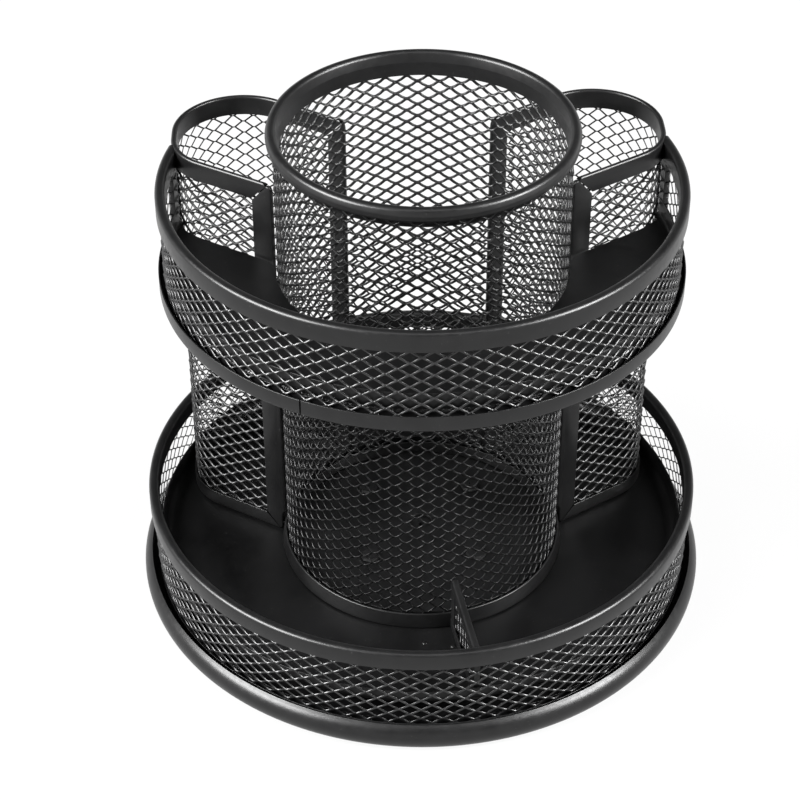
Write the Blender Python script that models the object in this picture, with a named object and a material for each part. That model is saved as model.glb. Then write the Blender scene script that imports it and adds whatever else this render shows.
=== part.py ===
"""Rotating desk organizer: a round two-tier tray of expanded steel mesh that turns on a ball race.

Base pan, race and feet stand still. Above them turns the carousel: a full lower tray, a tall round
front cup, two tall lobed side cups and a crescent upper tray. Lengths at the top are millimetres,
and every point is scaled to metres by MM. The front of the organizer faces -Y, and z = 0 is the
underside of the feet.
"""

import bmesh
import bpy
from math import atan2, cos, hypot, pi, radians, sin
from mathutils import Matrix, Vector

MM = 0.001
GAP = 0.3           # clearance kept between pieces that touch
SEG = 36            # facets on a full ring
SEG_RACE = 20       # facets on the race parts
SHEET = 0.45        # steel of the folded edge strips
MESH_T = 0.8        # overall thickness of the flattened expanded mesh
SIDE_MESH_T = 0.5   # the same in the side cups' thinner strips

# --- base ---------------------------------------------------------------
BASE_R = 83.0       # widest part of the spun base edge
BASE_LIP_R = 80.9   # its top lip
BASE_LIP_Z = 8.8
PAN_Z = (1.8, 2.6)  # underside and top of the flat of the pan
FOOT_R, FOOT_Z, FOOT_PITCH_R = 5.5, 1.5, 66.0

# --- race ---------------------------------------------------------------
BALL_PITCH_R, BALL_R, BALL_Z, BALLS = 34.0, 2.5, 7.3, 10
CAGE_Z = (6.8, 7.8)
PIVOT_R = 2.9
BASE_RIVET_PITCH, TRAY_RIVET_PITCH = 20.0, 22.0
RIVETS = 4

# --- lower tray ---------------------------------------------------------
LOW_FLOOR_Z = (12.4, 13.2)
LOW_FLOOR_R = 77.2
LOW_RIM_R = 80.0
LOW_RIM_Z = (29.3, 34.6)
LOW_FOOT_R = 79.2
LOW_FOOT_Z = (5.0, 9.4)
LOW_WALL = ((78.4, 5.6), (79.15, 33.6))     # outer radius and height, bottom and top

# --- front cup ----------------------------------------------------------
CUP_Y = -5.8
CUP_R = 39.7
CUP_RIM_R = 41.45
CUP_TOP = 154.6
CUP_RING_R = 41.2
CUP_RING_TOP = 18.0

# --- upper tray ---------------------------------------------------------
UP_RIM_R = 71.6
UP_RIM_Z = (129.0, 134.6)
UP_BAND_R = 72.2
UP_BAND_Z = (104.5, 109.4)
UP_WALL = ((71.25, 105.1), (70.7, 133.7))
UP_FLOOR_Z = (110.0, 110.8)
UP_FLOOR_R = 69.6
UP_END_DEG = 12.5   # the crescent ends this far behind the X axis

# --- side cups ----------------------------------------------------------
SIDE_TOP = 134.8
SIDE_BAND_H = 5.8
SIDE_FOOT_H = 4.8
SIDE_W = 2.0        # width of the folded edge strip
SIDE_POST_W = 5.5
REAR_START = (20.0, 30.3)
REAR_SLOPE = 33.0   # degrees from the X axis
OUTER_X = 68.3
FRONT_END = (41.4, -3.0)
FRONT_SLOPE = 32.0
BACK_FILLET, FRONT_FILLET = 19.0, 16.0

# --- divider ------------------------------------------------------------
DIV_DEG = 9.3       # from the front, towards +X
DIV_S = (47.0, 76.4)
DIV_Z = (13.5, 31.6)
DIV_T = 2.0
DIV_EDGE = 3.2

BLACK = (0.012, 0.012, 0.013)
STEEL = (0.45, 0.45, 0.47)
ZINC = (0.55, 0.54, 0.50)


def clear_scene():
    for ob in list(bpy.data.objects):
        bpy.data.objects.remove(ob, do_unlink=True)


def material(name, colour, roughness, metallic):
    m = bpy.data.materials.new(name)
    m.use_nodes = True
    b = m.node_tree.nodes["Principled BSDF"]
    b.inputs["Base Color"].default_value = (*colour, 1.0)
    b.inputs["Roughness"].default_value = roughness
    b.inputs["Metallic"].default_value = metallic
    m.diffuse_color = (*colour, 1.0)
    return m


def finish(name, bm, mat, parent=None, origin=(0.0, 0.0, 0.0), smooth=True):
    """Scale to metres, face outwards and link; the vertices are kept relative to origin."""
    bmesh.ops.remove_doubles(bm, verts=bm.verts, dist=1e-4)
    bmesh.ops.recalc_face_normals(bm, faces=bm.faces)
    shift = Matrix.Translation(-Vector(origin))
    bmesh.ops.transform(bm, matrix=Matrix.Scale(MM, 4) @ shift, verts=bm.verts)
    if bm.calc_volume(signed=True) < 0:
        bmesh.ops.reverse_faces(bm, faces=bm.faces)
    me = bpy.data.meshes.new(name)
    bm.to_mesh(me)
    bm.free()
    if smooth:
        me.shade_smooth()
        me.set_sharp_from_angle(angle=radians(32))
    me.materials.append(mat(name))
    ob = bpy.data.objects.new(name, me)
    ob.location = Vector(origin) * MM
    bpy.context.scene.collection.objects.link(ob)
    if parent is not None:
        ob.parent = parent
    return ob


def turned(profile, centre=(0.0, 0.0), seg=SEG, arc=None):
    """Spin a closed (radius, height) outline about a vertical line. arc = (start, end) in degrees."""
    bm = bmesh.new()
    full = arc is None
    a0, a1 = (0.0, 360.0) if full else arc
    n = seg if full else max(2, round(abs(a1 - a0) / 360.0 * seg))
    rings = []
    for k in range(n if full else n + 1):
        a = radians(a0 + (a1 - a0) * k / n)
        rings.append([bm.verts.new((centre[0] + r * cos(a), centre[1] + r * sin(a), z)) for r, z in profile])
    m = len(profile)
    for k in range(n):
        p, q = rings[k], rings[(k + 1) % len(rings)]
        for i in range(m):
            j = (i + 1) % m
            bm.faces.new((p[i], p[j], q[j], q[i]))
    if not full:
        bm.faces.new(rings[0])
        bm.faces.new(list(reversed(rings[-1])))
    return bm


def channel(r_out, r_in, z_open, z_closed, t=SHEET, crown=0.5):
    """U-shaped folded strip that grips a mesh edge. z_closed is the folded side, z_open the two free edges."""
    s = 1.0 if z_closed > z_open else -1.0
    return [
        (r_out, z_open), (r_out, z_closed - s * crown), (r_out - crown, z_closed),
        (r_in + crown, z_closed), (r_in, z_closed - s * crown), (r_in, z_open),
        (r_in + t, z_open), (r_in + t, z_closed - s * (t + 0.15)),
        (r_out - t, z_closed - s * (t + 0.15)), (r_out - t, z_open),
    ]


def offset_path(path, d):
    """Shift an open plan path to its left by d, with mitred corners."""
    out = []
    n = len(path)
    for i, (x, y) in enumerate(path):
        dirs = []
        for a, b in ((i - 1, i), (i, i + 1)):
            if 0 <= a and b < n:
                dx, dy = path[b][0] - path[a][0], path[b][1] - path[a][1]
                l = hypot(dx, dy)
                dirs.append((dx / l, dy / l))
        if len(dirs) == 1:
            nx, ny = -dirs[0][1], dirs[0][0]
            out.append((x + nx * d, y + ny * d))
        else:
            n1, n2 = (-dirs[0][1], dirs[0][0]), (-dirs[1][1], dirs[1][0])
            k = 1.0 + n1[0] * n2[0] + n1[1] * n2[1]
            out.append((x + (n1[0] + n2[0]) * d / k, y + (n1[1] + n2[1]) * d / k))
    return out


def swept(path, profile):
    """Sweep a closed (offset, height) outline along an open plan path, with flat ends."""
    bm = bmesh.new()
    lanes = {}
    for off, _ in profile:
        if off not in lanes:
            lanes[off] = offset_path(path, off)
    rings = [[bm.verts.new((*lanes[off][k], z)) for off, z in profile] for k in range(len(path))]
    m = len(profile)
    for k in range(len(path) - 1):
        p, q = rings[k], rings[k + 1]
        for i in range(m):
            j = (i + 1) % m
            bm.faces.new((p[i], p[j], q[j], q[i]))
    bm.faces.new(rings[0])
    bm.faces.new(list(reversed(rings[-1])))
    return bm


def prism(outline, z0, z1):
    """Upright solid on a plan outline."""
    bm = bmesh.new()
    low = [bm.verts.new((x, y, z0)) for x, y in outline]
    top = [bm.verts.new((x, y, z1)) for x, y in outline]
    n = len(outline)
    for i in range(n):
        j = (i + 1) % n
        bm.faces.new((low[i], low[j], top[j], top[i]))
    bm.faces.new(list(reversed(low)))
    bm.faces.new(top)
    return bm


def arc_points(cx, cy, r, a0, a1, n):
    return [(cx + r * cos(radians(a0 + (a1 - a0) * k / n)), cy + r * sin(radians(a0 + (a1 - a0) * k / n))) for k in range(n + 1)]


def side_outline(n_back=9, n_front=5):
    """Outer face of the right side cup's edge strips, from the rear post round the lobe to the front post."""
    ra, fa = radians(REAR_SLOPE), radians(FRONT_SLOPE)
    bx, by = REAR_START
    corner_back = by + (OUTER_X - bx) * sin(ra) / cos(ra)
    turn_back = radians(90.0) + ra
    start = BACK_FILLET * sin(turn_back / 2) / cos(turn_back / 2)
    cy_back = corner_back - start
    back = arc_points(OUTER_X - BACK_FILLET, cy_back, BACK_FILLET, 90.0 + REAR_SLOPE, 0.0, n_back)
    fx, fy = FRONT_END
    corner_front = fy + (OUTER_X - fx) * sin(fa) / cos(fa)
    turn_front = radians(90.0) - fa
    start = FRONT_FILLET * sin(turn_front / 2) / cos(turn_front / 2)
    cy_front = corner_front + start
    front = arc_points(OUTER_X - FRONT_FILLET, cy_front, FRONT_FILLET, 0.0, -(90.0 - FRONT_SLOPE), n_front)
    return [REAR_START] + back + front + [FRONT_END]


def trim(path, start, end):
    """Shorten an open path by start at its first end and by end at its last."""
    def cut(p, d):
        p = list(p)
        while d > 0 and len(p) > 2:
            l = hypot(p[1][0] - p[0][0], p[1][1] - p[0][1])
            if l > d:
                t = d / l
                p[0] = (p[0][0] + (p[1][0] - p[0][0]) * t, p[0][1] + (p[1][1] - p[0][1]) * t)
                return p
            d -= l
            p.pop(0)
        return p
    p = cut(path, start)
    return list(reversed(cut(list(reversed(p)), end)))


def mirrored(path):
    """The left cup's path: mirrored in the YZ plane and reversed, so that its inside stays on one hand."""
    return [(-x, y) for x, y in reversed(path)]


def strip_section(z_open, z_closed, t=SHEET, w=SIDE_W, crown=0.45):
    s = 1.0 if z_closed > z_open else -1.0
    return [
        (0.0, z_open), (0.0, z_closed - s * crown), (crown, z_closed), (w - crown, z_closed),
        (w, z_closed - s * crown), (w, z_open), (w - t, z_open), (w - t, z_closed - s * (t + 0.15)),
        (t, z_closed - s * (t + 0.15)), (t, z_open),
    ]


def post_outline(path, at_start, width=SIDE_POST_W, w=SIDE_W, t=SHEET):
    """Plan outline of a folded post that grips the mesh at one end of a path, open towards the mesh."""
    p = path if at_start else list(reversed(path))
    dx, dy = p[1][0] - p[0][0], p[1][1] - p[0][1]
    l = hypot(dx, dy)
    ux, uy = dx / l, dy / l
    nx, ny = (-uy, ux) if at_start else (uy, -ux)

    def at(s, o):
        return (p[0][0] + ux * s + nx * o, p[0][1] + uy * s + ny * o)

    return [at(width, 0), at(0.3, 0), at(0, 0.3), at(0, w - 0.3), at(0.3, w), at(width, w), at(width, w - t),
            at(0.7, w - t), at(0.7, t), at(width, t)]


def cut_holes(ob, places, r, z0, z1, n=8):
    """Drill round holes straight through with one Boolean, and apply it."""
    bm = bmesh.new()
    for x, y in places:
        lo = [bm.verts.new(((x + r * cos(2 * pi * k / n)) * MM, (y + r * sin(2 * pi * k / n)) * MM, z0 * MM)) for k in range(n)]
        hi = [bm.verts.new(((x + r * cos(2 * pi * k / n)) * MM, (y + r * sin(2 * pi * k / n)) * MM, z1 * MM)) for k in range(n)]
        for k in range(n):
            j = (k + 1) % n
            bm.faces.new((lo[k], lo[j], hi[j], hi[k]))
        bm.faces.new(list(reversed(lo)))
        bm.faces.new(hi)
    me = bpy.data.meshes.new(ob.name + "_drill")
    bm.to_mesh(me)
    bm.free()
    cutter = bpy.data.objects.new(ob.name + "_drill", me)
    cutter.hide_render = True
    cutter.display_type = "WIRE"
    bpy.context.scene.collection.objects.link(cutter)
    mod = ob.modifiers.new("holes", "BOOLEAN")
    mod.operation = "DIFFERENCE"
    mod.solver = "EXACT"
    mod.object = cutter


def circle_places(r, n, phase=45.0):
    return [(r * cos(radians(phase + 360.0 * k / n)), r * sin(radians(phase + 360.0 * k / n))) for k in range(n)]


clear_scene()

def painted(name):
    m = material(name + "_paint", BLACK, 0.42, 0.0)
    return m


def steel(name):
    return material(name + "_steel", STEEL, 0.32, 1.0)


def zinc(name):
    return material(name + "_zinc", ZINC, 0.4, 1.0)


def rubber(name):
    return material(name + "_rubber", (0.02, 0.02, 0.02), 0.85, 0.0)


def nylon(name):
    return material(name + "_nylon", (0.75, 0.74, 0.70), 0.5, 0.0)


carousel_axis = bpy.data.objects.new("carousel_axis", None)
bpy.context.scene.collection.objects.link(carousel_axis)
ball_axis = bpy.data.objects.new("ball_axis", None)
ball_axis.location = (0.0, 0.0, BALL_Z * MM)
bpy.context.scene.collection.objects.link(ball_axis)

# ---------------------------------------------------------------- base
pz0, pz1 = PAN_Z
pan = finish("base_pan", turned([
    (3.2, pz0), (72.0, pz0), (76.0, 1.0), (80.8, 1.0), (82.6, 2.2), (BASE_R, 4.0), (82.4, 6.4), (BASE_LIP_R, BASE_LIP_Z),
    (80.2, 8.7), (81.4, 6.1), (81.95, 4.0), (80.6, 2.0), (76.4, 1.9), (72.4, pz1), (3.2, pz1),
]), painted)
cut_holes(pan, circle_places(BASE_RIVET_PITCH, RIVETS), 1.75, 0.5, 4.0)

for k, (x, y) in enumerate(circle_places(FOOT_PITCH_R, 4)):
    finish("foot_pad_%d" % (k + 1), prism(arc_points(x, y, FOOT_R, 0.0, 330.0, 11), 0.0, FOOT_Z), rubber)

lower_plate = finish("bearing_lower_plate", turned([
    (3.4, 2.9), (26.5, 2.9), (29.6, 4.9), (32.4, 3.65), (35.6, 3.65), (38.4, 4.9), (41.5, 2.9), (46.0, 2.9),
    (46.0, 3.7), (41.9, 3.7), (38.6, 5.85), (35.4, 4.45), (32.6, 4.45), (29.4, 5.85), (26.1, 3.7), (3.4, 3.7),
], seg=SEG_RACE), zinc)
cut_holes(lower_plate, circle_places(BASE_RIVET_PITCH, RIVETS), 1.75, 2.0, 5.0)

finish("pivot_rivet", turned([
    (0.8, 0.9), (5.6, 0.9), (5.6, 1.2), (4.9, 1.5), (PIVOT_R, 1.5), (PIVOT_R, 10.7), (5.4, 10.7), (5.4, 11.2), (4.2, 11.9), (0.8, 12.0),
], seg=12), steel)

finish("pivot_washer", turned([(3.2, 9.8), (7.2, 9.8), (7.2, 10.4), (3.2, 10.4)], seg=12), zinc)

for k, (x, y) in enumerate(circle_places(BASE_RIVET_PITCH, RIVETS)):
    finish("base_rivet_%d" % (k + 1), turned([
        (0.35, 1.0), (2.7, 1.0), (2.7, 1.5), (1.4, 1.5), (1.4, 4.0), (2.6, 4.0), (2.2, 4.6), (0.35, 4.8),
    ], centre=(x, y), seg=8), steel)

# ---------------------------------------------------------------- ball ring
cage = finish("ball_cage", turned([(29.8, CAGE_Z[0]), (38.2, CAGE_Z[0]), (38.2, CAGE_Z[1]), (29.8, CAGE_Z[1])], seg=20),
              nylon)
cut_holes(cage, circle_places(BALL_PITCH_R, BALLS, 0.0), BALL_R + 0.5, 6.0, 9.0, n=8)
for k, (x, y) in enumerate(circle_places(BALL_PITCH_R, BALLS, 0.0)):
    bm = bmesh.new()
    bmesh.ops.create_uvsphere(bm, u_segments=8, v_segments=4, radius=BALL_R)
    bmesh.ops.translate(bm, verts=bm.verts, vec=(x, y, BALL_Z))
    finish("bearing_ball_%02d" % (k + 1), bm, steel, parent=ball_axis, origin=(0.0, 0.0, BALL_Z))
    bpy.data.objects["bearing_ball_%02d" % (k + 1)].location = (0.0, 0.0, 0.0)

# ---------------------------------------------------------------- carousel: race and lower tray
upper_plate = finish("bearing_upper_plate", turned([
    (3.4, 8.6), (9.5, 8.6), (13.0, 11.3), (27.2, 11.3), (29.6, 8.9), (32.4, 10.15), (35.6, 10.15), (38.6, 8.9), (40.0, 8.9),
    (40.0, 9.7), (38.8, 9.7), (35.8, 10.95), (32.2, 10.95), (29.9, 9.95), (27.6, 12.1), (12.6, 12.1), (9.1, 9.4), (3.4, 9.4),
], seg=SEG_RACE), zinc)
cut_holes(upper_plate, circle_places(TRAY_RIVET_PITCH, RIVETS), 1.75, 10.5, 13.0)

lf0, lf1 = LOW_FLOOR_Z
floor = finish("lower_tray_floor", prism(arc_points(0, 0, LOW_FLOOR_R, 0.0, 360.0 * (SEG - 1) / SEG, SEG - 1), lf0, lf1), painted)
cut_holes(floor, circle_places(TRAY_RIVET_PITCH, RIVETS), 1.75, 11.9, 14.0)

for k, (x, y) in enumerate(circle_places(TRAY_RIVET_PITCH, RIVETS)):
    finish("tray_rivet_%d" % (k + 1), turned([
        (0.35, 10.2), (2.2, 10.3), (2.6, 11.0), (1.4, 11.0), (1.4, 13.5), (2.9, 13.5), (2.5, 14.2), (0.35, 14.5),
    ], centre=(x, y), seg=8), steel)

(wr0, wz0), (wr1, wz1) = LOW_WALL
finish("lower_tray_wall", turned([(wr0, wz0), (wr1, wz1), (wr1 - MESH_T, wz1), (wr0 - MESH_T, wz0)]), painted)
finish("lower_tray_rim", turned(channel(LOW_RIM_R, LOW_RIM_R - 2.9, LOW_RIM_Z[0], LOW_RIM_Z[1])), painted)
finish("lower_tray_foot_band", turned(channel(LOW_FOOT_R, LOW_FOOT_R - 2.4, LOW_FOOT_Z[1], LOW_FOOT_Z[0], crown=0.15)[::-1]), painted)

# divider between the front cup and the tray wall
da = radians(-90.0 + DIV_DEG)
ux, uy = cos(da), sin(da)


def plate_on_radius(s0, s1, z0, z1, t, hole=None):
    """Flat upright plate along the divider's line, with an optional rectangular window."""
    bm = bmesh.new()

    def ring(side):
        o = side * t / 2
        outer = [(s0, z0), (s1, z0), (s1, z1), (s0, z1)]
        return [bm.verts.new((ux * s - uy * o, uy * s + ux * o, z)) for s, z in outer], (
            [bm.verts.new((ux * s - uy * o, uy * s + ux * o, z)) for s, z in
             [(hole[0], hole[2]), (hole[1], hole[2]), (hole[1], hole[3]), (hole[0], hole[3])]] if hole else None)
    a, ah = ring(-1)
    b, bh = ring(1)
    for i in range(4):
        j = (i + 1) % 4
        bm.faces.new((a[i], a[j], b[j], b[i]))
        if hole:
            bm.faces.new((a[i], ah[i], ah[j], a[j]))
            bm.faces.new((b[i], b[j], bh[j], bh[i]))
            bm.faces.new((ah[i], bh[i], bh[j], ah[j]))
    if not hole:
        bm.faces.new(a[::-1])
        bm.faces.new(b)
    return bm


win = (DIV_S[0] + DIV_EDGE, DIV_S[1] - DIV_EDGE, DIV_Z[0] + DIV_EDGE, DIV_Z[1] - DIV_EDGE)
finish("divider_frame", plate_on_radius(DIV_S[0], DIV_S[1], DIV_Z[0], DIV_Z[1], DIV_T, win), painted, smooth=False)
finish("divider_mesh", plate_on_radius(win[0] + GAP, win[1] - GAP, win[2] + GAP, win[3] - GAP, MESH_T), painted, smooth=False)

# ---------------------------------------------------------------- front cup
cc = (0.0, CUP_Y)
finish("front_cup_wall", turned([(CUP_R, 14.2), (CUP_R, 153.0), (CUP_R - MESH_T, 153.0), (CUP_R - MESH_T, 14.2)], centre=cc), painted)
finish("front_cup_rim", turned([
    (40.7, 150.4), (CUP_RIM_R, 152.2), (41.0, 153.9), (39.6, CUP_TOP), (38.6, 153.7), (37.85, 147.5),
    (38.25, 147.5), (38.65, 153.3), (40.05, 153.5), (40.05, 150.4),
], centre=cc), painted)
finish("front_cup_base_ring", turned([
    (40.05, CUP_RING_TOP), (40.6, CUP_RING_TOP), (CUP_RING_R, 15.2), (CUP_RING_R, 13.5), (38.3, 13.5), (38.3, CUP_RING_TOP - 0.6),
    (38.6, CUP_RING_TOP - 0.6), (38.6, 13.9), (40.05, 13.9),
], centre=cc), painted)

# ---------------------------------------------------------------- side cups
right = side_outline()


def build_side(side):
    path = right if side == "right" else mirrored(right)
    # the strip's width grows towards the inside of the cup, which is on the right of the right cup's path
    # and also on the right of the mirrored and reversed one
    def sec(points):
        return [(-o, z) for o, z in points]
    top = SIDE_TOP
    b0, b1 = top - SIDE_BAND_H, top
    f0, f1 = 13.5, 13.5 + SIDE_FOOT_H
    # strips round the top and the bottom edge
    finish(side + "_cup_top_band", swept(path, sec(strip_section(b0, b1))), painted)
    short = trim(path, 1.6, 1.3) if side == "right" else trim(path, 1.3, 1.6)
    finish(side + "_cup_bottom_band", swept(short, sec(strip_section(f1, f0, crown=0.15))[::-1]), painted)
    # mesh wall inside the strips
    a, b = (SIDE_W - SIDE_MESH_T) / 2, (SIDE_W + SIDE_MESH_T) / 2
    wall = trim(path, 1.9, 1.6) if side == "right" else trim(path, 1.6, 1.9)
    finish(side + "_cup_wall", swept(wall, [(-a, f0 + 0.9), (-a, b1 - 0.9), (-b, b1 - 0.9), (-b, f0 + 0.9)]), painted)
    # posts that close the two upright edges
    z0, z1 = f1 + GAP, b0 - GAP

    def flip(path_, start):
        p = path_ if start else list(reversed(path_))
        dx, dy = p[1][0] - p[0][0], p[1][1] - p[0][1]
        l = hypot(dx, dy)
        vx, vy = dx / l, dy / l
        # inside is on the right of the walking direction
        nx, ny = (vy, -vx) if start else (-vy, vx)

        def at(s, o):
            return (p[0][0] + vx * s + nx * o, p[0][1] + vy * s + ny * o)
        w, t, width = SIDE_W, SHEET, SIDE_POST_W
        return [at(width, 0), at(0.3, 0), at(0, 0.3), at(0, w - 0.3), at(0.3, w), at(width, w), at(width, w - t),
                at(0.8, w - t), at(0.8, t), at(width, t)]
    rear_first = side == "right"
    for nm, start in (("rear_post", rear_first), ("front_post", not rear_first)):
        finish(side + "_cup_" + nm, prism(flip(path, start), z0, z1), painted, smooth=False)


build_side("right")
build_side("left")

# ---------------------------------------------------------------- upper tray
arc = (180.0 - UP_END_DEG, 360.0 + UP_END_DEG)
(ur0, uz0), (ur1, uz1) = UP_WALL
finish("upper_tray_wall", turned([(ur0, uz0), (ur1, uz1), (ur1 - MESH_T, uz1), (ur0 - MESH_T, uz0)], arc=arc, seg=SEG), painted)
finish("upper_tray_rim", turned(channel(UP_RIM_R, UP_RIM_R - 2.8, UP_RIM_Z[0], UP_RIM_Z[1]), arc=arc, seg=SEG), painted)
finish("upper_tray_bottom_band", turned(channel(UP_BAND_R, UP_BAND_R - 2.8, UP_BAND_Z[1], UP_BAND_Z[0], crown=0.2)[::-1], arc=arc, seg=SEG), painted)


def upper_floor_outline():
    """Crescent: the tray's arc in front, the two cup fronts and the round cup behind."""
    edge = offset_path(right, 0.5)          # just outside the right cup's strips
    front = [p for p in edge if p[1] < 15.2 and p[0] > 30.0]
    front = front[:-1] + [(FRONT_END[0] + 0.25, FRONT_END[1] - 0.75)]
    rr = CUP_R + 0.45
    a0 = -1.2
    cup = arc_points(0.0, CUP_Y, rr, a0, -180.0 - a0, 22)
    left_front = [(-x, y) for x, y in reversed(front)]
    outer = arc_points(0, 0, UP_FLOOR_R, 180.0 - UP_END_DEG + 0.8, 360.0 + UP_END_DEG - 0.8, 28)
    return outer + front + cup + left_front


finish("upper_tray_floor", prism(upper_floor_outline(), *UP_FLOOR_Z), painted)

# everything that turns hangs on the carousel's axis
for ob in list(bpy.data.objects):
    if ob.type == "MESH" and ob.parent is None and not ob.hide_render:
        if ob.name.startswith(("lower_tray", "upper_tray", "front_cup", "left_cup", "right_cup", "divider", "bearing_upper", "tray_rivet")):
            ob.parent = carousel_axis
        elif ob.name == "ball_cage":
            ob.parent = ball_axis
            ob.matrix_parent_inverse = Matrix.Translation((0.0, 0.0, -BALL_Z * MM))
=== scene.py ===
"""Looks of the rotating mesh desk organizer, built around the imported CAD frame. Lengths in the tables are in millimetres."""

import math

import bmesh
import bpy
import numpy as np
from mathutils import Matrix, Vector


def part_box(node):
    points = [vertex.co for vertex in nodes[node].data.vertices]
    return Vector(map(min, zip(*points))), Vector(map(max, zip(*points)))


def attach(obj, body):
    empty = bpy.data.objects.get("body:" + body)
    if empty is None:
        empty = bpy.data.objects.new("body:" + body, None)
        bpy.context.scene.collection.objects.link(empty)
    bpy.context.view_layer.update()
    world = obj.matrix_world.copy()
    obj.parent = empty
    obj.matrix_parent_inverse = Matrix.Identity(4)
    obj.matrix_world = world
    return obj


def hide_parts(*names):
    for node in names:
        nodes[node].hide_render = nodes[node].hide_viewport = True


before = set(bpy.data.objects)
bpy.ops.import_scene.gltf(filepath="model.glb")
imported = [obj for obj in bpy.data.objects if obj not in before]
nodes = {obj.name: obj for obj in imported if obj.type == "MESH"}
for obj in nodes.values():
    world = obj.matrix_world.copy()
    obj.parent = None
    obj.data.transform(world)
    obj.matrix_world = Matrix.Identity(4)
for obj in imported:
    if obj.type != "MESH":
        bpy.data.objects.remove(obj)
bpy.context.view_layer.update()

MM = 0.001


def top_mm(node):
    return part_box(node)[1].z / MM


def low_mm(node):
    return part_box(node)[0].z / MM


# ---------------------------------------------------------------- sizes
LWD = 6.08          # long way of one mesh opening
SWD = 3.67          # short way
CUP_Y = -5.8
CUP_R = 39.7
LOWER_R = 79.0
UPPER_R = 71.0
UP_END = 12.5       # degrees past +X / -X where the upper wall stops
UP_WALL = 15.3      # where the visible wall is brought up to the side cup
UP_TIP = 15.7       # degrees where its rim's point reaches
SIDE_TOP = top_mm("right_cup_top_band")
CUP_TOP = top_mm("front_cup_rim")
UPPER_RIM_TOP = top_mm("upper_tray_rim")
LOWER_RIM_TOP = top_mm("lower_tray_rim")
LOWER_FLOOR = top_mm("lower_tray_floor")
UPPER_FLOOR = top_mm("upper_tray_floor")

REAR_START = (20.0, 30.3)
REAR_SLOPE = 33.0
BACK_R = 19.0
OUTER_X = 68.3
FRONT_R = 16.0
FRONT_SLOPE = 32.0
FRONT_END = (41.4, -3.0)
SIDE_T = 1.5        # folded strip thickness
SIDE_BAND = 5.8
SIDE_FOOT = 13.5
SIDE_FOOT_H = 4.8
POST_W = 5.5
CORNER = 2.4


# ---------------------------------------------------------------- materials
def noise(nt, coord, scale, detail=2.0, rough=0.5):
    n = nt.nodes.new("ShaderNodeTexNoise")
    n.inputs["Scale"].default_value = scale
    n.inputs["Detail"].default_value = detail
    n.inputs["Roughness"].default_value = rough
    nt.links.new(coord.outputs["Object"], n.inputs["Vector"])
    return n


def ramp(nt, source, stops):
    r = nt.nodes.new("ShaderNodeValToRGB")
    e = r.color_ramp.elements
    e[0].position, e[0].color = stops[0][0], (*stops[0][1], 1)
    e[1].position, e[1].color = stops[-1][0], (*stops[-1][1], 1)
    for p, c in stops[1:-1]:
        k = e.new(p)
        k.color = (*c, 1)
    nt.links.new(source, r.inputs["Fac"])
    return r


def remap(nt, source, low, high, a=0.3, b=0.7):
    m = nt.nodes.new("ShaderNodeMapRange")
    m.inputs["From Min"].default_value = a
    m.inputs["From Max"].default_value = b
    m.inputs["To Min"].default_value = low
    m.inputs["To Max"].default_value = high
    nt.links.new(source, m.inputs["Value"])
    return m


def material(name, dark, light, rough, metallic=0.0, patch=140.0, grain=2200.0, depth=0.000012, specks=None, specular=0.5, brushed=0.0):
    """Cloudy colour and roughness over a fine grain: dark and light are the colour's two ends, rough its two ends."""
    m = bpy.data.materials.new(name)
    m.use_nodes = True
    nt = m.node_tree
    p = nt.nodes["Principled BSDF"]
    coord = nt.nodes.new("ShaderNodeTexCoord")
    cloud = noise(nt, coord, patch, 3.0, 0.55)
    fine = noise(nt, coord, grain, 2.0, 0.6)
    stops = [(0.32, dark), (0.68, light)]
    colour = ramp(nt, cloud.outputs["Fac"], stops)
    last = colour.outputs["Color"]
    if specks:
        dust = noise(nt, coord, 1500.0, 1.0, 0.4)
        where = ramp(nt, dust.outputs["Fac"], [(0.735, (0, 0, 0)), (0.775, (1, 1, 1))])
        mix = nt.nodes.new("ShaderNodeMix")
        mix.data_type = "RGBA"
        nt.links.new(where.outputs["Color"], mix.inputs["Factor"])
        nt.links.new(last, mix.inputs["A"])
        mix.inputs["B"].default_value = (*specks, 1)
        last = mix.outputs["Result"]
    nt.links.new(last, p.inputs["Base Color"])
    mott = noise(nt, coord, patch * 4.3, 2.0, 0.5)
    r = remap(nt, mott.outputs["Fac"], rough[0], rough[1])
    nt.links.new(r.outputs["Result"], p.inputs["Roughness"])
    bump = nt.nodes.new("ShaderNodeBump")
    bump.inputs["Strength"].default_value = 0.6
    bump.inputs["Distance"].default_value = depth
    if brushed:
        mapping = nt.nodes.new("ShaderNodeMapping")
        mapping.inputs["Scale"].default_value = (1.0, 1.0, brushed)
        nt.links.new(coord.outputs["Object"], mapping.inputs["Vector"])
        nt.links.new(mapping.outputs["Vector"], fine.inputs["Vector"])
    nt.links.new(fine.outputs["Fac"], bump.inputs["Height"])
    nt.links.new(bump.outputs["Normal"], p.inputs["Normal"])
    p.inputs["Metallic"].default_value = metallic
    p.inputs["Specular IOR Level"].default_value = specular
    return m


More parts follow.
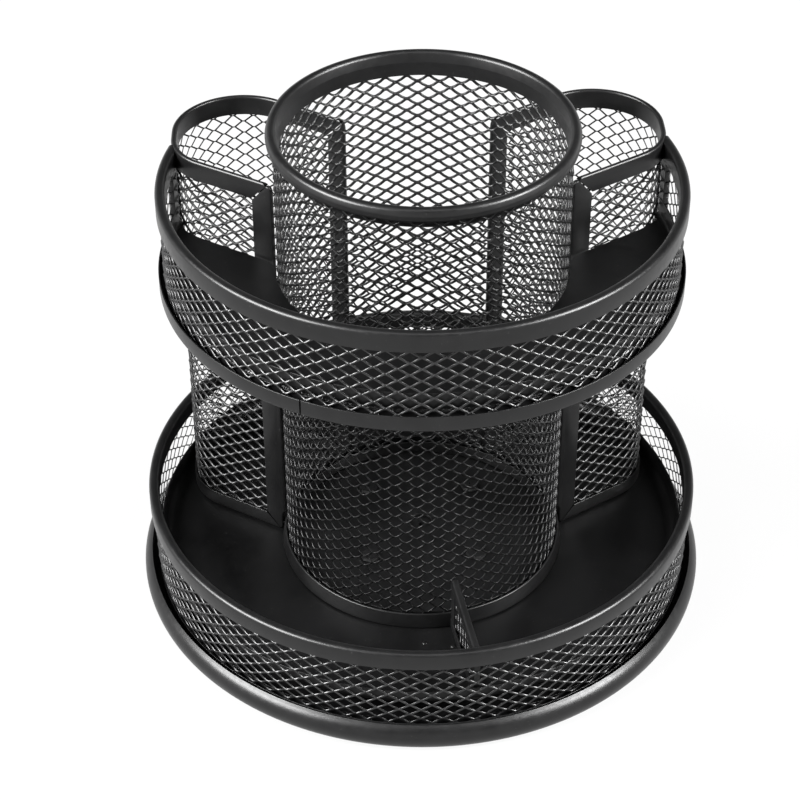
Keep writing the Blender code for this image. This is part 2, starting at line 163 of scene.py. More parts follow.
coat = material("satin_black_coat", (0.0026, 0.0026, 0.0027), (0.0044, 0.0044, 0.0045), (0.31, 0.38), specks=(0.014, 0.014, 0.014), specular=0.31, depth=0.000005)
# floor copy of the black coat, darker in colour and less glossy than the coat: painted shade on the up-facing floors
floor_coat_shaded_copy = material("satin_black_floor_painted_shade", (0.0014, 0.0014, 0.0015), (0.0026, 0.0026, 0.0027), (0.38, 0.46), patch=60.0, specks=(0.016, 0.016, 0.016), specular=0.26)
# lit copy of the black coat for the tray and divider mesh: its stronger specular and lighter colour are painted
# highlight on the strands
mesh_coat_lit_copy = material("satin_black_mesh_painted_highlight", (0.0026, 0.0026, 0.0027), (0.0048, 0.0048, 0.0050), (0.28, 0.36), patch=400.0, grain=3200.0, depth=0.000005, specular=0.50)
# shaded copy of the mesh coat for the front and side cup meshes: its darker colour and weaker specular are painted
# shade
cup_mesh_coat_shaded_copy = material("satin_black_cup_mesh_painted_shade", (0.0024, 0.0024, 0.0025), (0.0042, 0.0042, 0.0044), (0.33, 0.41), patch=400.0, grain=3200.0, depth=0.000005, specular=0.34)
zinc = material("zinc_plate", (0.40, 0.41, 0.42), (0.58, 0.59, 0.60), (0.26, 0.40), metallic=1.0, patch=260.0, grain=1500.0, depth=0.000008)
steel = material("ground_steel", (0.50, 0.50, 0.50), (0.62, 0.62, 0.61), (0.12, 0.22), metallic=1.0, patch=500.0, grain=2600.0, depth=0.000003)
nylon = material("natural_nylon", (0.62, 0.60, 0.54), (0.72, 0.70, 0.64), (0.42, 0.55), patch=180.0, grain=1800.0, depth=0.00001)
rubber = material("black_rubber", (0.012, 0.012, 0.012), (0.022, 0.022, 0.022), (0.62, 0.80), patch=220.0, grain=1600.0, depth=0.00003)


# ---------------------------------------------------------------- mesh helpers
def build(name, verts, faces, mat, body, replaces=(), slot="black_sheet", sharp=38.0, bake_uv=None):
    me = bpy.data.meshes.new(name)
    me.from_pydata([(x * MM, y * MM, z * MM) for x, y, z in verts], [], faces)
    me.validate()
    bm = bmesh.new()
    bm.from_mesh(me)
    bmesh.ops.recalc_face_normals(bm, faces=bm.faces)
    bm.to_mesh(me)
    bm.free()
    me.materials.append(mat)
    me.shade_smooth()
    me.set_sharp_from_angle(angle=math.radians(sharp))
    ob = bpy.data.objects.new(name, me)
    bpy.context.scene.collection.objects.link(ob)
    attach(ob, body)
    if replaces:
        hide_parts(*replaces)
    return ob


def rounded(points, radii, steps=4):
    """The closed outline with each corner turned on its own radius; 0 keeps it."""
    out = []
    n = len(points)
    for i in range(n):
        p = Vector(points[i])
        a, b = Vector(points[i - 1]), Vector(points[(i + 1) % n])
        r = radii[i] if isinstance(radii, (list, tuple)) else radii
        u, v = (a - p), (b - p)
        lu, lv = u.length, v.length
        u.normalize(), v.normalize()
        ang = math.acos(max(-1, min(1, u.dot(v))))
        if r <= 0 or ang > math.radians(176):
            out.append(tuple(p))
            continue
        d = min(r / math.tan(ang / 2), lu * 0.49, lv * 0.49)
        r = d * math.tan(ang / 2)
        c = p + (u + v).normalized() * (r / math.sin(ang / 2))
        s, e = p + u * d, p + v * d
        a0 = math.atan2(s.y - c.y, s.x - c.x)
        a1 = math.atan2(e.y - c.y, e.x - c.x)
        da = (a1 - a0 + math.pi) % (2 * math.pi) - math.pi
        for k in range(steps + 1):
            t = a0 + da * k / steps
            out.append((c.x + r * math.cos(t), c.y + r * math.sin(t)))
    return out


def circle(cx=0.0, cy=0.0):
    def f(t):
        return cx, cy, math.cos(t), math.sin(t)
    return f


def sweep(name, path, params, section, mat, body, closed=False, ends=(None, None), **kw):
    """section is a closed outline of (outward offset, height); ends shift the first and last ring along the path by height."""
    verts, faces = [], []
    m = len(section)
    for i, s in enumerate(params):
        for o, z in section:
            t = s
            if i == 0 and ends[0]:
                t = s + ends[0](z)
            if i == len(params) - 1 and not closed and ends[1]:
                t = s + ends[1](z)
            x, y, nx, ny = path(t)
            verts.append((x + nx * o, y + ny * o, z))
    n = len(params)
    for i in range(n if closed else n - 1):
        j = (i + 1) % n
        for k in range(m):
            l = (k + 1) % m
            faces.append((i * m + k, j * m + k, j * m + l, i * m + l))
    if not closed:
        faces.append(tuple(range(m))[::-1])
        faces.append(tuple(range((n - 1) * m, n * m)))
    return build(name, verts, faces, mat, body, **kw)


def lathe(name, section, mat, body, segs=192, cx=0.0, cy=0.0, **kw):
    return sweep(name, circle(cx, cy), [2 * math.pi * i / segs for i in range(segs)], section, mat, body, closed=True, **kw)


def plate(name, outline, path, o0, o1, mat, body, bevel=0.22, **kw):
    """A flat plate: outline in (along the path, height), from offset o0 to o1."""
    bm = bmesh.new()
    loop = [bm.verts.new((s * MM, z * MM, 0)) for s, z in outline]
    f = bm.faces.new(loop)
    ext = bmesh.ops.extrude_face_region(bm, geom=[f])
    for v in ext["geom"]:
        if isinstance(v, bmesh.types.BMVert):
            v.co.z += (o1 - o0) * MM
    bmesh.ops.recalc_face_normals(bm, faces=bm.faces)
    bmesh.ops.bevel(bm, geom=list(bm.edges), offset=bevel * MM, segments=2, profile=0.5, affect="EDGES")
    for v in bm.verts:
        s, z, w = v.co.x / MM, v.co.y / MM, v.co.z / MM
        x, y, nx, ny = path(s)
        v.co = Vector(((x + nx * (o0 + w)) * MM, (y + ny * (o0 + w)) * MM, z * MM))
    me = bpy.data.meshes.new(name)
    bmesh.ops.recalc_face_normals(bm, faces=bm.faces)
    bm.to_mesh(me)
    bm.free()
    me.materials.append(mat)
    me.shade_smooth()
    me.set_sharp_from_angle(angle=math.radians(50))
    ob = bpy.data.objects.new(name, me)
    bpy.context.scene.collection.objects.link(ob)
    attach(ob, body)
    if kw.get("replaces"):
        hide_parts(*kw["replaces"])
    return ob


# one node of the expanded sheet: right, upper right, upper left, left, lower left, lower right
NODE = np.array([(0.76, 0.0), (0.26, 0.30), (-0.26, 0.30), (-0.76, 0.0), (-0.26, -0.30), (0.26, -0.30)])


def lattice(name, length, height, place, mat, body, closed=False, tilt=0.28, thick=0.32, slim=1.0, shift=0.0, v_from=0.0, seed=1, keep=None, swd=SWD, bow=0.0, **kw):
    """Expanded sheet of staggered diamond holes: u runs along the wall, v up it, w outward. tilt above 0 turns each node's lower edge outward."""
    rng = np.random.default_rng(seed)
    cols = max(1, round(length / LWD))
    pitch = length / cols if closed else LWD
    rows = int(math.floor((height - v_from) / (swd / 2))) + 1
    index, place_uvw = {}, []
    for m in range(rows):
        v = v_from + m * swd / 2
        for k in range(cols if closed else cols + 2):
            u = (k + (0.5 if m % 2 else 0.0)) * pitch + shift
            if not closed and not (-0.2 <= u <= length + 0.2):
                continue
            if keep is not None and not keep(u, v):
                continue
            index[(m, k)] = len(place_uvw)
            j = rng.normal(0, 0.025, 3)
            place_uvw.append((u + j[0], v + j[1], j[2] * 0.6))
    base = np.array(place_uvw)
    n = len(base)
    front = np.zeros((n, 6, 3))
    front[:, :, 0] = base[:, None, 0] + NODE[None, :, 0] * (0.35 + 0.65 * slim)
    front[:, :, 1] = base[:, None, 1] + NODE[None, :, 1] * slim
    lean = np.array([0, -1, -1, 0, 1, 1]) * tilt
    front[:, :, 2] = base[:, None, 2] + lean[None, :]
    back = front.copy()
    front[:, :, 2] += thick / 2
    back[:, :, 2] -= thick / 2
    uvw = np.concatenate([front.reshape(-1, 3), back.reshape(-1, 3)])
    off = n * 6
    R, UR, UL, L, LL, LR = range(6)
    quads, used, extra, M0 = [], {}, [], 10 ** 7

    def put(poly):
        quads.append(tuple(poly))
        for a, b in zip(poly, poly[1:] + poly[:1]):
            if (b, a) in used:
                del used[(b, a)]
            else:
                used[(a, b)] = True

    for (m, k), i in index.items():
        b = i * 6
        put([b + R, b + UR, b + LR])
        put([b + UR, b + UL, b + LL, b + LR])
        put([b + UL, b + L, b + LL])
        up = k if m % 2 == 0 else k + 1
        upl = k - 1 if m % 2 == 0 else k
        if closed:
            up %= cols
            upl %= cols
        for other, low_a, high_a, low_c, high_c in ((up, R, UR, LL, L), (upl, L, UL, LR, R)):
            if (m + 1, other) not in index:
                continue
            c = index[(m + 1, other)] * 6
            turn = 1 if other is up and low_a == R else -1
            if not bow:
                quad = [b + low_a, c + low_c, c + high_c, b + high_a]
                put(quad if turn == 1 else quad[::-1])
                continue
            mids = []
            for p, q in ((low_a, low_c), (high_a, high_c)):
                du = LWD / 2 * turn if not closed else pitch / 2 * turn
                pa = front[i, p]
                pc = front[c // 6, q].copy()
                pc[0] = pa[0] + ((pc[0] - pa[0] + length / 2) % length - length / 2) if closed else pc[0]
                mid = (pa + pc) / 2
                mid[1] -= bow
                mids.append(mid)
            mi = len(extra) + M0
            extra.extend(mids)
            for quad in ([b + low_a, mi, mi + 1, b + high_a], [mi, c + low_c, c + high_c, mi + 1]):
                put(quad if turn == 1 else quad[::-1])
    if extra:
        more = np.array(extra)
        uvw = np.concatenate([uvw[:off], more, uvw[off:], more - np.array([0, 0, thick])])
        moved = len(extra)
        quads = [tuple(x if x < M0 else x - M0 + off for x in q) for q in quads]
        used = {tuple(x if x < M0 else x - M0 + off for x in e): True for e in used}
        off += moved
    edges = list(used)
    faces = list(quads)
    faces += [tuple(x + off for x in reversed(q)) for q in quads]
    faces += [(a, a + off, b + off, b)[::-1] for a, b in edges]
    xyz = place(uvw[:, 0], uvw[:, 1], uvw[:, 2])
    me = bpy.data.meshes.new(name)
    me.from_pydata((xyz * MM).tolist(), [], faces)
    uv = me.uv_layers.new(name="OFBake")
    lu, lv = max(uvw[:, 0].max() - uvw[:, 0].min(), 1e-6), max(uvw[:, 1].max() - uvw[:, 1].min(), 1e-6)
    su = (uvw[:, 0] - uvw[:, 0].min()) / lu
    sv = (uvw[:, 1] - uvw[:, 1].min()) / lv * 0.48 + np.where(np.arange(len(uvw)) < off, 0.0, 0.51)
    loops = np.zeros(len(me.loops), dtype=np.int32)
    me.loops.foreach_get("vertex_index", loops)
    flat = np.empty(len(loops) * 2, dtype=np.float32)
    flat[0::2], flat[1::2] = su[loops], sv[loops]
    uv.data.foreach_set("uv", flat)
    bm = bmesh.new()
    bm.from_mesh(me)
    bmesh.ops.recalc_face_normals(bm, faces=bm.faces)
    bm.to_mesh(me)
    bm.free()
    me.materials.append(mat)
    me.shade_smooth()
    ob = bpy.data.objects.new(name, me)
    bpy.context.scene.collection.objects.link(ob)
    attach(ob, body)
    if kw.get("replaces"):
        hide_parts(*kw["replaces"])
    return ob


def round_wall(radius_of_v, z_of_v, ref, cx=0.0, cy=0.0, start=0.0):
    """Maps (along, up, out) onto a turned wall; ref is the radius that lengths are counted on."""
    def place(u, v, w):
        t = start + u / ref
        r, z = radius_of_v(v), z_of_v(v)
        dr = radius_of_v(v + 0.05) - radius_of_v(v - 0.05)
        dz = z_of_v(v + 0.05) - z_of_v(v - 0.05)
        dz = np.where(np.hypot(dr, dz) < 1e-9, 1e-6, dz)
        h = np.hypot(dr, dz)
        nr, nz = dz / h, -dr / h
        rr = r + w * nr
        return np.stack([cx + rr * np.cos(t), cy + rr * np.sin(t), z + w * nz], axis=1)
    return place


# ---------------------------------------------------------------- the side cups' plan
class SidePath:
    """Straight, lobe, short straight, corner, straight: the right cup's outer face from the rear post to the front post."""

    def __init__(self, sign):
        ra, fa = math.radians(REAR_SLOPE), math.radians(FRONT_SLOPE)
        bx, by = REAR_START
        corner = by + (OUTER_X - bx) * math.tan(ra)
        cy1 = corner - BACK_R * math.tan((math.pi / 2 + ra) / 2)
        fx, fy = FRONT_END
        cy2 = fy + (OUTER_X - fx) * math.tan(fa) + FRONT_R * math.tan((math.pi / 2 - fa) / 2)
        c1, c2 = (OUTER_X - BACK_R, cy1), (OUTER_X - FRONT_R, cy2)
        a1 = math.pi / 2 + ra
        p1 = (c1[0] + BACK_R * math.cos(a1), c1[1] + BACK_R * math.sin(a1))
        a2 = -(math.pi / 2 - fa)
        p2 = (c2[0] + FRONT_R * math.cos(a2), c2[1] + FRONT_R * math.sin(a2))
        self.parts = [
            ("line", math.dist(REAR_START, p1), REAR_START, p1),
            ("arc", BACK_R * a1, c1, BACK_R, a1, 0.0),
            ("line", max(1e-6, cy1 - cy2), (OUTER_X, cy1), (OUTER_X, cy2)),
            ("arc", FRONT_R * -a2, c2, FRONT_R, 0.0, a2),
            ("line", math.dist(p2, FRONT_END), p2, FRONT_END),
        ]
        self.breaks = [0.0]
        for p in self.parts:
            self.breaks.append(self.breaks[-1] + p[1])
        self.total = self.breaks[-1]
        self.sign = sign

    def __call__(self, s):
        i = 0
        while i < 4 and s > self.breaks[i + 1]:
            i += 1
        p, t = self.parts[i], s - self.breaks[i]
        if p[0] == "line":
            (x0, y0), (x1, y1) = p[2], p[3]
            dx, dy = (x1 - x0), (y1 - y0)
            h = math.hypot(dx, dy) or 1.0
            if h < 1e-5:
                dx, dy, h = 0.0, -1.0, 1.0
            dx, dy = dx / h, dy / h
            x, y, nx, ny = x0 + dx * t, y0 + dy * t, -dy, dx
        else:
            _, _, c, r, a0, a1 = p
            a = a0 - t / r
            x, y, nx, ny = c[0] + r * math.cos(a), c[1] + r * math.sin(a), math.cos(a), math.sin(a)
        return self.sign * x, y, self.sign * nx, ny

    def params(self, s0, s1, step=2.0):
        """Ring places from s0 to s1: close together on the arcs only."""
        out = [s0]
        for i, p in enumerate(self.parts):
            a, b = self.breaks[i], self.breaks[i + 1]
            if p[0] == "arc":
                n = max(2, int(math.ceil((b - a) / (p[3] * math.radians(4.5)))))
                out += [a + (b - a) * j / n for j in range(n + 1)]
            else:
                out += [a, b]
        out = sorted(x for x in set(round(v, 5) for v in out) if s0 + 0.3 < x < s1 - 0.3)
        return [s0] + out + [s1]

    def place(self, offset):
        def f(u, v, w):
            pts = np.array([self(float(x)) for x in u])
            o = offset + w
            return np.stack([pts[:, 0] + pts[:, 2] * o, pts[:, 1] + pts[:, 3] * o, v], axis=1)
        return f


def channel(o_in, o_out, z_open, z_fold, t, r):
    """Section of a strip folded over an edge: open at z_open, closed and round at z_fold."""
    up = 1.0 if z_fold > z_open else -1.0
    pts = [(o_in, z_open), (o_in, z_fold), (o_out, z_fold), (o_out, z_open), (o_out - t, z_open), (o_out - t, z_fold - up * t), (o_in + t, z_fold - up * t), (o_in + t, z_open)]
    return rounded(pts, [0.12, r, r, 0.12, 0.1, max(r - t, 0.05), max(r - t, 0.05), 0.1], 4)


# ---------------------------------------------------------------- base
# a rolled rim: the outside is a smooth bulge from the floor side up to the lip
outside = []
for k in range(10):
    a = math.radians(-80 + 80 * k / 9)
    outside.append((80.6 + 2.4 * math.cos(a), 5.0 + 3.9 * math.sin(a)))
for k in range(1, 13):
    a = math.radians(58 * k / 12)
    outside.append((78.4 + 4.6 * math.cos(a), 5.0 + 4.6 * math.sin(a)))
inside = []
for k in range(9):
    a = math.radians(57 - 57 * k / 8)
    inside.append((78.4 + 3.9 * math.cos(a), 5.0 + 3.9 * math.sin(a)))
for k in range(1, 7):
    a = math.radians(-78 * k / 6)
    inside.append((80.6 + 1.7 * math.cos(a), 5.0 + 3.1 * math.sin(a)))
base_section = [(3.2, 1.8), (72.0, 1.8), (74.2, 1.5), (76.4, 1.08)] + outside + [(80.72, 9.0), (80.52, 8.92)] + inside + [(76.4, 1.95), (74.2, 2.35), (72.4, 2.6), (3.2, 2.6)]
lathe("base_dish", base_section, coat, "base", replaces=["base_pan"], sharp=48)

# ---------------------------------------------------------------- lower tray
floor_top = LOWER_FLOOR
lathe(
    "lower_floor_dish",
    rounded([(3.3, floor_top - 0.8), (76.6, floor_top - 0.8), (77.3, floor_top + 5.2), (76.7, floor_top + 5.2), (75.7, floor_top), (3.3, floor_top)], [0.1, 3.6, 0.25, 0.25, 3.2, 0.1], 6),
    floor_coat_shaded_copy, "carousel", replaces=["lower_tray_floor"],
)

# the mesh wall stands straight and curls in under the floor
curl = [(77.9, 5.2), (78.35, 7.2), (78.65, 9.4), (78.85, 11.6), (78.95, 13.8), (LOWER_R, 15.8), (LOWER_R + 0.02, 22.0), (LOWER_R + 0.05, 33.6)]
curl_v = np.concatenate([[0], np.cumsum([math.dist(curl[i], curl[i + 1]) for i in range(len(curl) - 1)])])
curl_r = np.array([c[0] for c in curl]) - 0.35
curl_z = np.array([c[1] for c in curl])
lattice(
    "lower_wall_mesh", 2 * math.pi * LOWER_R, curl_v[-1] - 0.3,
    round_wall(lambda v: np.interp(v, curl_v, curl_r), lambda v: np.interp(v, curl_v, curl_z), LOWER_R),
    mesh_coat_lit_copy, "carousel", closed=True, tilt=0.21, slim=0.68, thick=0.26, v_from=0.4, seed=11, replaces=["lower_tray_wall"],
)
lathe("lower_rim_fold", channel(77.1, 80.0, 29.3, LOWER_RIM_TOP, 0.45, 1.25), coat, "carousel", replaces=["lower_tray_rim"])
lathe("lower_foot_fold", channel(76.4, 78.6, 7.2, 4.6, 0.4, 0.8), coat, "carousel", replaces=["lower_tray_foot_band"])

# ---------------------------------------------------------------- front cup
lattice(
    "front_cup_mesh", 2 * math.pi * CUP_R, 152.6 - 14.6,
    round_wall(lambda v: np.full_like(v, CUP_R - 0.35), lambda v: 14.6 + v, CUP_R, 0.0, CUP_Y, start=math.radians(-90)),
    cup_mesh_coat_shaded_copy, "carousel", closed=True, tilt=-0.30, bow=0.13, seed=12, replaces=["front_cup_wall"],
)
lathe(
    "front_cup_lip",
    rounded([(40.35, 150.3), (41.25, 151.0), (41.45, 152.6), (41.0, 154.0), (39.8, CUP_TOP), (38.7, 154.0), (38.05, 151.4), (37.85, 147.5), (38.2, 147.5), (38.45, 151.4), (39.0, 153.2), (40.2, 153.2), (40.4, 151.6)],
            [0.15, 0.8, 1.2, 1.2, 1.2, 1.2, 1.0, 0.12, 0.12, 0.6, 0.5, 0.5, 0.3], 4),
    coat, "carousel", cy=CUP_Y, replaces=["front_cup_rim"],
)
lathe(
    "front_cup_foot",
    rounded([(40.0, 18.2), (40.55, 18.2), (41.0, 15.6), (41.25, 13.5), (38.3, 13.5), (38.3, 17.4), (38.65, 17.4), (38.65, 13.95), (40.7, 13.95)],
            [0.1, 0.3, 0.8, 0.3, 0.3, 0.1, 0.1, 0.1, 0.3], 4),
    coat, "carousel", cy=CUP_Y, replaces=["front_cup_base_ring"],
)

# ---------------------------------------------------------------- side cups
for side, sign in (("right", 1.0), ("left", -1.0)):
    path = SidePath(sign)
    end = path.total
    z_in = SIDE_TOP - SIDE_BAND
    lean = POST_W / SIDE_BAND
    # top band, mitred at both ends, with the frame's outer corner turned on CORNER
    def corner(z):
        h = max(0.0, z - (SIDE_TOP - CORNER))
        return POST_W - CORNER + math.sqrt(max(0.0, CORNER * CORNER - h * h)) - 0.08
    sweep(
        f"{side}_cup_top_fold", path, path.params(POST_W, end - POST_W), channel(-SIDE_T, 0.0, z_in, SIDE_TOP, 0.42, 0.85), coat, "carousel",
        ends=(lambda z: -min((z - z_in) * lean, corner(z)), lambda z: min((z - z_in) * lean, corner(z))),
        replaces=[f"{side}_cup_top_band"],
    )
    z_foot = SIDE_FOOT + SIDE_FOOT_H
    sweep(
        f"{side}_cup_foot_fold", path, path.params(POST_W, end - POST_W), channel(-SIDE_T, 0.0, z_foot, SIDE_FOOT + 0.05, 0.42, 0.7), coat, "carousel",
        ends=(lambda z: -min((z_foot - z) * 1.08, POST_W - 0.85), lambda z: min((z_foot - z) * 1.08, POST_W - 0.85)),
        replaces=[f"{side}_cup_bottom_band"],
    )
    for tag, s0, s1, node in (("rear", 0.0, POST_W, "rear_post"), ("front", end - POST_W, end, "front_post")):
        inner, outer = (s1, s0) if tag == "rear" else (s0, s1)
        reach = 0.0 if tag == "rear" else 0.9
        d = 1 if outer > inner else -1
        pts = [
            (outer + d * reach, 21.0), (outer, 19.5), (outer, SIDE_FOOT + 1.2), (outer - d * 0.9, SIDE_FOOT + 0.2), (inner + d * 0.25, z_foot + 0.1),
            (inner + d * 0.02, z_foot + 1.0), (inner + d * 0.02, z_in - 0.6), (inner + d * 0.6, z_in - 0.05),
        ]
        if reach:
            q = math.radians(47)
            pts.append((outer - d * CORNER * (1 - math.cos(q)), SIDE_TOP - CORNER + CORNER * math.sin(q) - 0.12))
        for q in (47, 32, 16, 0):
            q = math.radians(q)
            pts.append((outer + d * reach - d * CORNER * (1 - math.cos(q)), SIDE_TOP - CORNER + CORNER * math.sin(q) - 0.12))
        plate(f"{side}_cup_{tag}_strip", pts, path, -SIDE_T + 0.1, -0.08, coat, "carousel", bevel=0.3, replaces=[f"{side}_cup_{node}"])
    lattice(
        f"{side}_cup_mesh", end, SIDE_TOP - 1.3, path.place(-SIDE_T / 2), cup_mesh_coat_shaded_copy, "carousel", tilt=0.24, slim=0.82, thick=0.30, v_from=SIDE_FOOT + 1.0, seed=20 + int(sign),
        replaces=[f"{side}_cup_wall"],
    )

# ---------------------------------------------------------------- upper tray
t0, t1 = math.radians(180 - UP_WALL), math.radians(360 + UP_WALL)
tip = math.radians(UP_TIP - UP_WALL)
zr = UPPER_RIM_TOP - 5.6


def arc_params(a, b, step=2.0):
    n = int(math.ceil(math.degrees(b - a) / step))
    return [a + (b - a) * i / n for i in range(n + 1)]


rise = lambda z: tip * max(0.0, (z - zr)) / 5.6
sweep("upper_rim_fold", circle(), arc_params(t0, t1), channel(68.8, 71.6, zr, UPPER_RIM_TOP, 0.45, 1.2), coat, "carousel",
      ends=(lambda z: -rise(z), rise), replaces=["upper_tray_rim"])
SEAM = math.radians(270 - 27.5)
lo, hi = low_mm("upper_tray_bottom_band"), top_mm("upper_tray_bottom_band")
low_channel = channel(69.4, 72.2, hi, lo, 0.42, 0.9)
sweep("upper_foot_fold_right", circle(), arc_params(SEAM + math.radians(0.18), t1), low_channel, coat, "carousel", replaces=["upper_tray_bottom_band"])
sweep("upper_foot_fold_left", circle(), arc_params(t0, SEAM - math.radians(0.18)), low_channel, coat, "carousel")
END_W = 2.8 / UPPER_R
for tag, a, b in (("left", t0, t0 + END_W), ("right", t1 - END_W, t1)):
    sweep(f"upper_end_strip_{tag}", circle(), arc_params(a, b, 1.0),
          rounded([(69.7, hi - 1.5), (71.35, hi - 1.5), (71.35, zr + 1.5), (69.7, zr + 1.5)], 0.35, 3), coat, "carousel")
up_r = UPPER_R - 0.45
lattice(
    "upper_wall_mesh", (t1 - t0) * UPPER_R, 28.0,
    round_wall(lambda v: np.full_like(v, up_r), lambda v: lo + 0.7 + v, UPPER_R, start=t0),
    mesh_coat_lit_copy, "carousel", tilt=0.21, slim=0.68, thick=0.26, seed=13, swd=3.6, replaces=["upper_tray_wall"],
)
sweep("upper_floor_flange", circle(), arc_params(t0 + math.radians(1.0), t1 - math.radians(1.0)),
      rounded([(67.6, UPPER_FLOOR + 0.02), (69.3, UPPER_FLOOR + 0.02), (69.5, UPPER_FLOOR + 4.6), (69.9, UPPER_FLOOR + 4.6), (69.75, UPPER_FLOOR - 0.5), (67.6, UPPER_FLOOR + 0.0)], [0, 1.6, 0.15, 0.15, 0.3, 0], 5),
      floor_coat_shaded_copy, "carousel")

# ---------------------------------------------------------------- divider
DIV = math.radians(9.3)
DIR = (math.sin(DIV), -math.cos(DIV))
NRM = (math.cos(DIV), math.sin(DIV))


def divider_path(s):
    return DIR[0] * s, DIR[1] * s, NRM[0], NRM[1]


S0, S1, Z0, Z1, EDGE = 47.0, 76.4, 13.5, 31.6, 3.2
sweep("divider_top_fold", divider_path, [S0, S0 + 8, S1 - 8, S1], channel(-1.0, 1.0, Z1 - EDGE, Z1, 0.4, 0.75), coat, "carousel",
      ends=(lambda z: max(0.0, (z - (Z1 - 1.0))) * 0.5, lambda z: -max(0.0, (z - (Z1 - 1.0))) * 0.3), replaces=["divider_frame"])
sweep("divider_foot_fold", divider_path, [S0, S1], channel(-1.0, 1.0, Z0 + EDGE, Z0, 0.4, 0.5), coat, "carousel")
for tag, a, b in (("inner", S0, S0 + EDGE), ("outer", S1 - EDGE, S1)):
    plate(f"divider_{tag}_strip", [(a, Z0 + 0.3), (b, Z0 + 0.3), (b, Z1 - 0.4), (a, Z1 - 0.4)], divider_path, -0.9, 0.9, coat, "carousel", bevel=0.25)


def divider_place(u, v, w):
    s = S0 + 1.0 + u
    return np.stack([DIR[0] * s + NRM[0] * w, DIR[1] * s + NRM[1] * w, v], axis=1)


lattice("divider_mesh_sheet", S1 - S0 - 2.0, Z1 - 0.8, divider_place, mesh_coat_lit_copy, "carousel", tilt=0.25, thick=0.34, v_from=Z0 + 0.8, seed=31, replaces=["divider_mesh"])

# ---------------------------------------------------------------- weld dots
def dome(name, x, y, z, r, h, mat, body):
    verts, faces, n, rings = [], [], 16, 4
    for i in range(rings):
        a = math.pi / 2 * i / rings
        for k in range(n):
            t = 2 * math.pi * k / n
            verts.append((x + r * math.cos(a) * math.cos(t), y + r * math.cos(a) * math.sin(t), z + h * math.sin(a)))
    verts.append((x, y, z + h))
    for i in range(rings - 1):
        for k in range(n):
            faces.append((i * n + k, i * n + (k + 1) % n, (i + 1) * n + (k + 1) % n, (i + 1) * n + k))
    for k in range(n):
        faces.append(((rings - 1) * n + k, (rings - 1) * n + (k + 1) % n, len(verts) - 1))
    faces.append(tuple(range(n))[::-1])
    return build(name, verts, faces, mat, body, sharp=60)


for i, (x, y) in enumerate(((-0.9, -52.6), (7.0, -54.2))):
    dome(f"floor_weld_{i + 1}", x, y, LOWER_FLOOR, 0.75, 0.25, coat, "carousel")

# ---------------------------------------------------------------- carried-over nodes
finish = {"race_zinc": zinc, "ball_steel": steel, "cage_plastic": nylon, "foot_rubber": rubber, "rivet_steel": zinc}
for name, ob in nodes.items():
    if ob.hide_render:
        continue
    if name.startswith("bearing_ball_"):
        mat = steel
    elif name == "ball_cage":
        mat = nylon
    elif name.startswith("foot_pad"):
        mat = rubber
    elif name == "upper_tray_floor":
        mat = floor_coat_shaded_copy
    elif name.startswith("tray_rivet") or name == "pivot_rivet":
        mat = coat
    else:
        mat = zinc
    for s in ob.material_slots:
        s.material = mat
    ob.data.shade_smooth()
    ob.data.set_sharp_from_angle(angle=math.radians(30))

# ---------------------------------------------------------------- floor, light, camera
bm = bmesh.new()
bmesh.ops.create_grid(bm, x_segments=1, y_segments=1, size=6.0)
me = bpy.data.meshes.new("studio_floor")
bm.to_mesh(me)
bm.free()
ground = bpy.data.objects.new("studio_floor", me)
bpy.context.scene.collection.objects.link(ground)
fm = bpy.data.materials.new("pale_floor")
fm.use_nodes = True
fp = fm.node_tree.nodes["Principled BSDF"]
fp.inputs["Base Color"].default_value = (0.035, 0.035, 0.035, 1)
fp.inputs["Roughness"].default_value = 0.9
fp.inputs["Specular IOR Level"].default_value = 0.0
fp.inputs["Emission Color"].default_value = (1, 1, 1, 1)
fp.inputs["Emission Strength"].default_value = 0.90
me.materials.append(fm)

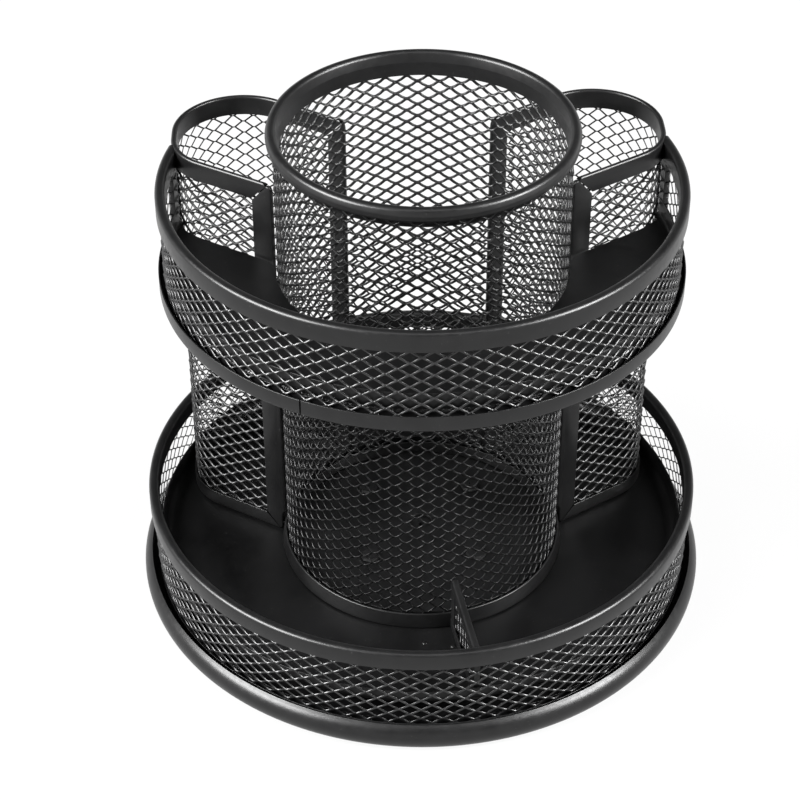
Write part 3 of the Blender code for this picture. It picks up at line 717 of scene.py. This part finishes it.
world = bpy.data.worlds.new("studio")
bpy.context.scene.world = world
world.use_nodes = True
wt = world.node_tree
bg = wt.nodes["Background"]
wc = wt.nodes.new("ShaderNodeTexCoord")
ws = wt.nodes.new("ShaderNodeSeparateXYZ")
wt.links.new(wc.outputs["Generated"], ws.inputs["Vector"])
sky = ramp(wt, ws.outputs["Z"], [(0.0, (0.9, 0.9, 0.9)), (0.16, (0.9, 0.9, 0.9)), (0.34, (0.06, 0.06, 0.06)), (0.9, (0.04, 0.04, 0.04)), (1.0, (0.08, 0.08, 0.08))])
wt.links.new(sky.outputs["Color"], bg.inputs["Color"])
bg.inputs["Strength"].default_value = 1.0


def area(name, loc, target, size, power, size_y=None):
    l = bpy.data.lights.new(name, "AREA")
    l.shape = "RECTANGLE"
    l.size, l.size_y = size, size_y or size
    l.energy = power
    o = bpy.data.objects.new(name, l)
    bpy.context.scene.collection.objects.link(o)
    o.location = loc
    o.rotation_euler = (Vector(target) - Vector(loc)).to_track_quat("-Z", "Y").to_euler()
    return o


area("soft_left", (-1.03, -0.37, 0.82), (0, 0, 0.07), 0.95, 84.0, 0.62)
area("soft_right", (1.02, -0.43, 0.82), (0, 0, 0.07), 0.60, 64.0, 0.62)
area("soft_top", (0.0, -0.45, 1.35), (0, 0, 0.05), 0.7, 3.0, 0.4)

F_PX = 2254.9
CAM = Vector((-0.02153, -0.51364, 0.45697))
yaw, pitch, roll = math.radians(1.715), math.radians(37.734), math.radians(-0.177)
fwd = Vector((math.sin(yaw) * math.cos(pitch), math.cos(yaw) * math.cos(pitch), -math.sin(pitch)))
right = Vector((math.cos(yaw), -math.sin(yaw), 0))
up = right.cross(fwd)
r2 = right * math.cos(roll) + up * math.sin(roll)
u2 = up * math.cos(roll) - right * math.sin(roll)
cam = bpy.data.cameras.new("photo_view")
cam.sensor_fit = "HORIZONTAL"
cam.sensor_width = 36.0
cam.lens = F_PX * 36.0 / 800.0
cam.clip_start, cam.clip_end = 0.02, 60.0
co = bpy.data.objects.new("photo_view", cam)
bpy.context.scene.collection.objects.link(co)
rot = Matrix((r2, u2, -fwd)).transposed()
co.matrix_world = Matrix.Translation(CAM) @ rot.to_4x4()
bpy.context.scene.camera = co
bpy.context.scene.view_settings.view_transform = "Standard"
